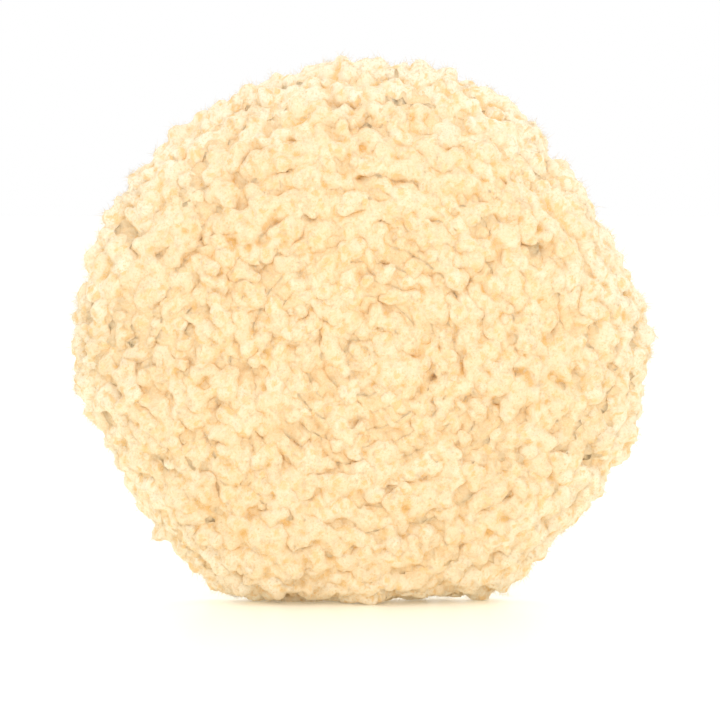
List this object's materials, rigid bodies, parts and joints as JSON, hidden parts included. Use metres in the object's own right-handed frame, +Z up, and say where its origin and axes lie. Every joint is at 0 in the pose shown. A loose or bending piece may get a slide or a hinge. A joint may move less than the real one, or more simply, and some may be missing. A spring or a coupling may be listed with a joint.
{
  "type": "polishing pad",
  "caption": "Single-sided round polishing pad of tufted wool with a loop fabric back and a centring hole.",
  "frame": {"origin": "on the floor under the middle of the pad, which stands on its rim: the bottom centre of its box", "axes": "+Z up; -Y is the way the wool face looks and +Y the way the loop face looks, along the disc's axis; +X to the right when looking at the wool face"},
  "size_m": [0.2272, 0.038, 0.2106],
  "materials": {
    "wool_pile": "natural undyed wool yarn, cut and fleecy, matt with a soft sheen",
    "backing_cloth": "plain woven cloth, matt",
    "latex_coat": "cured latex, dull",
    "adhesive_film": "thin heat-bonded film, satin",
    "loop_fabric": "brushed knitted loop nap, matt",
    "seam_thread": "twisted polyester sewing thread, slight sheen"
  },
  "bodies": {
    "root": {"wool_course_01": "wool_pile", "wool_course_02": "wool_pile", "wool_course_03": "wool_pile", "wool_course_04": "wool_pile", "wool_course_05": "wool_pile", "wool_course_06": "wool_pile", "wool_course_07": "wool_pile", "wool_course_08": "wool_pile", "wool_course_09": "wool_pile", "wool_course_10": "wool_pile", "wool_course_11": "wool_pile", "wool_course_12": "wool_pile", "wool_course_13": "wool_pile", "wool_course_14": "wool_pile", "backing_cloth": "backing_cloth", "latex_coat": "latex_coat", "adhesive_film": "adhesive_film", "loop_fabric_disc": "loop_fabric", "rim_seam_thread": "seam_thread", "centre_seam_thread": "seam_thread"}
  },
  "joints": []
}
